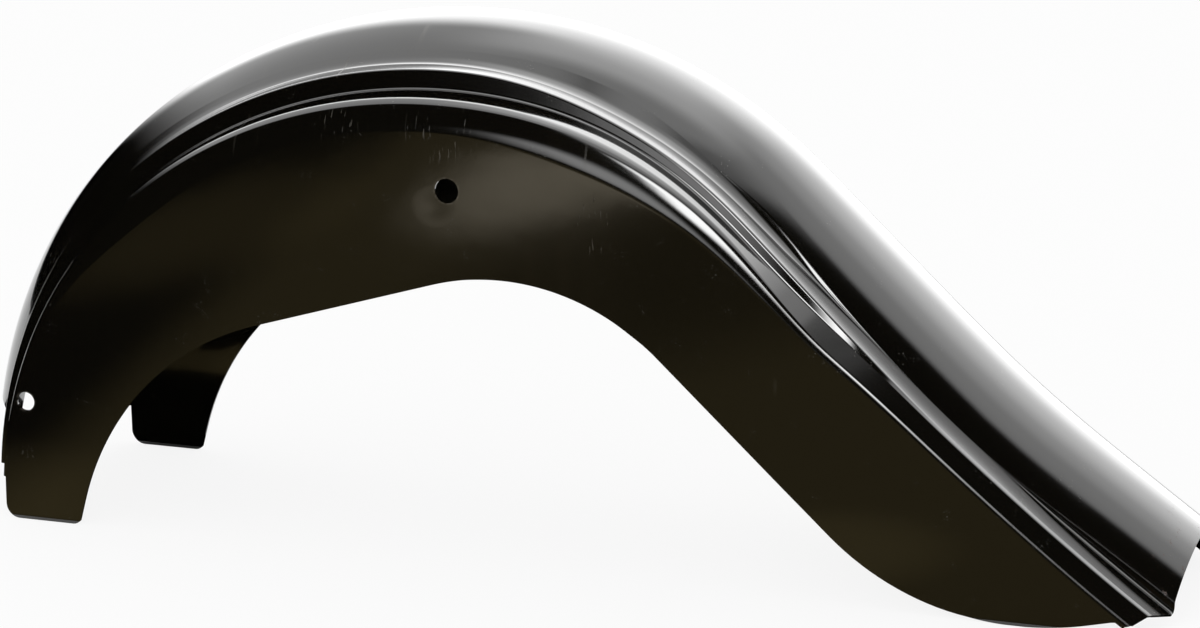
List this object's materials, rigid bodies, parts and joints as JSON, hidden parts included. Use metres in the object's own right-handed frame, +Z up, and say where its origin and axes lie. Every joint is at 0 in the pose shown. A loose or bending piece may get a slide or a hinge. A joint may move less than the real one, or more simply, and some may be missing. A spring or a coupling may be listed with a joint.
{
  "type": "motorcycle rear fender",
  "caption": "Pressed steel rear fender: an arch over the wheel with a raised crown, flat side skirts, front legs with flat tabs and a kicked-out round tail.",
  "frame": {"origin": "centre of the fender's footprint, on the ground plane that its feet and the underside of its tail rest on", "axes": "+X along the machine towards the tail, +Y to the machine's right, +Z up"},
  "size_m": [0.8348, 0.188, 0.3461],
  "materials": {
    "black_coat": "gloss"
  },
  "bodies": {
    "root": {"fender_shell": "black_coat"}
  },
  "joints": []
}
